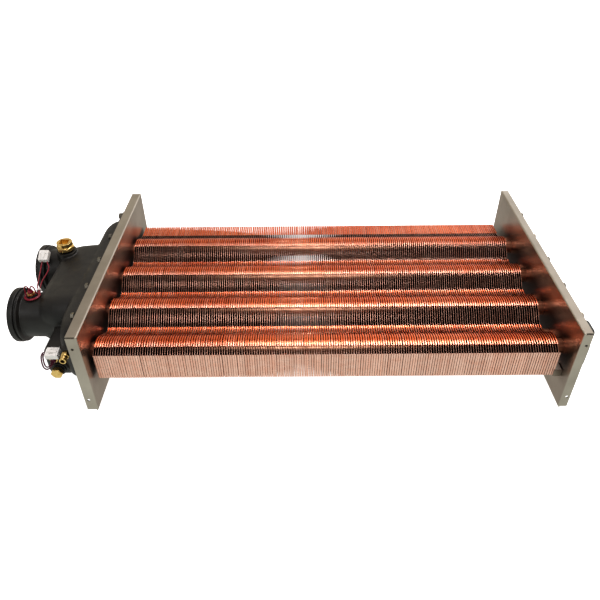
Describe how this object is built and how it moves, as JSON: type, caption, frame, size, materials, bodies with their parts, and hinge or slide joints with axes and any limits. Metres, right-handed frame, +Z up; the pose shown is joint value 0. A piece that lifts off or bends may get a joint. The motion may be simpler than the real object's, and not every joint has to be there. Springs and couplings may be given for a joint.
{
  "type": "pool heater heat exchanger",
  "caption": "Finned copper tube heat exchanger of a gas pool heater: wavy fin pack between two folded stainless end pans, black two-port water header, return header and sensors.",
  "frame": {"origin": "middle of the footprint, at the height of the two pans' lower flanges, which the part stands on", "axes": "+X along the tubes from the water ports to the return header, +Y to the back, +Z up"},
  "size_m": [0.8814, 0.418, 0.1435],
  "materials": {
    "copper_fins": "bright rolled copper sheet, lightly oxidised",
    "copper_tube": "drawn copper tube",
    "stainless_sheet": "bright rolled stainless sheet",
    "tube_plate_steel": "machined steel plate",
    "black_polymer": "moulded glass-filled polymer, satin",
    "black_rubber": "matt rubber",
    "brass": "turned brass",
    "zinc_steel": "zinc plated",
    "red_lead": "wire insulation",
    "purple_lead": "wire insulation",
    "white_nylon": "moulded nylon"
  },
  "bodies": {
    "heat_exchanger": {"fin_pack": "copper_fins", "upper_tube_1": "copper_tube", "upper_tube_2": "copper_tube", "upper_tube_3": "copper_tube", "upper_tube_4": "copper_tube", "lower_tube_1": "copper_tube", "lower_tube_2": "copper_tube", "lower_tube_3": "copper_tube", "lower_tube_4": "copper_tube", "header_side_pan": "stainless_sheet", "return_side_pan": "stainless_sheet", "fin_stop_clip": "stainless_sheet", "header_tube_plate": "tube_plate_steel", "return_tube_plate": "tube_plate_steel", "header_body": "black_polymer", "return_header": "black_polymer", "bypass_cage": "black_polymer", "header_gasket": "black_rubber", "return_gasket": "black_rubber", "near_port_o_ring": "black_rubber", "far_port_o_ring": "black_rubber", "upper_water_sensor": "brass", "lower_water_sensor": "brass", "pressure_tap_fitting": "brass", "bypass_spring": "zinc_steel", "header_bolt_lower_1": "zinc_steel", "header_bolt_lower_2": "zinc_steel", "header_bolt_lower_3": "zinc_steel", "header_bolt_lower_4": "zinc_steel", "header_bolt_lower_5": "zinc_steel", "header_bolt_upper_1": "zinc_steel", "header_bolt_upper_2": "zinc_steel", "header_bolt_upper_3": "zinc_steel", "header_bolt_upper_4": "zinc_steel", "header_bolt_upper_5": "zinc_steel", "return_bolt_lower_1": "zinc_steel", "return_bolt_lower_2": "zinc_steel", "return_bolt_lower_3": "zinc_steel", "return_bolt_lower_4": "zinc_steel", "return_bolt_lower_5": "zinc_steel", "return_bolt_upper_1": "zinc_steel", "return_bolt_upper_2": "zinc_steel", "return_bolt_upper_3": "zinc_steel", "return_bolt_upper_4": "zinc_steel", "return_bolt_upper_5": "zinc_steel", "upper_sensor_lead_a": "red_lead", "upper_sensor_lead_b": "red_lead", "lower_sensor_lead_a": "purple_lead", "lower_sensor_lead_b": "purple_lead", "upper_sensor_connector": "white_nylon", "lower_sensor_connector": "white_nylon", "lead_tie": "white_nylon"},
    "bypass_valve": {"bypass_poppet": "brass"},
    "upper_plug": {"upper_brass_plug": "brass", "upper_plug_o_ring": "black_rubber"},
    "drain": {"drain_plug": "brass", "drain_plug_o_ring": "black_rubber"}
  },
  "joints": [
    {"name": "bypass_lift", "type": "slide", "parent": "heat_exchanger", "child": "bypass_valve", "axis": [0, 1, 0], "range_m": [0, 0.008], "stiffness_N_per_m": 900, "springref_m": -0.006, "deforming": ["bypass_spring"]},
    {"name": "upper_plug_unscrew", "type": "slide", "parent": "heat_exchanger", "child": "upper_plug", "axis": [0, 0, 1], "range_m": [0, 0.03]},
    {"name": "drain_plug_unscrew", "type": "slide", "parent": "heat_exchanger", "child": "drain", "axis": [0, -1, 0], "range_m": [0, 0.035]}
  ]
}
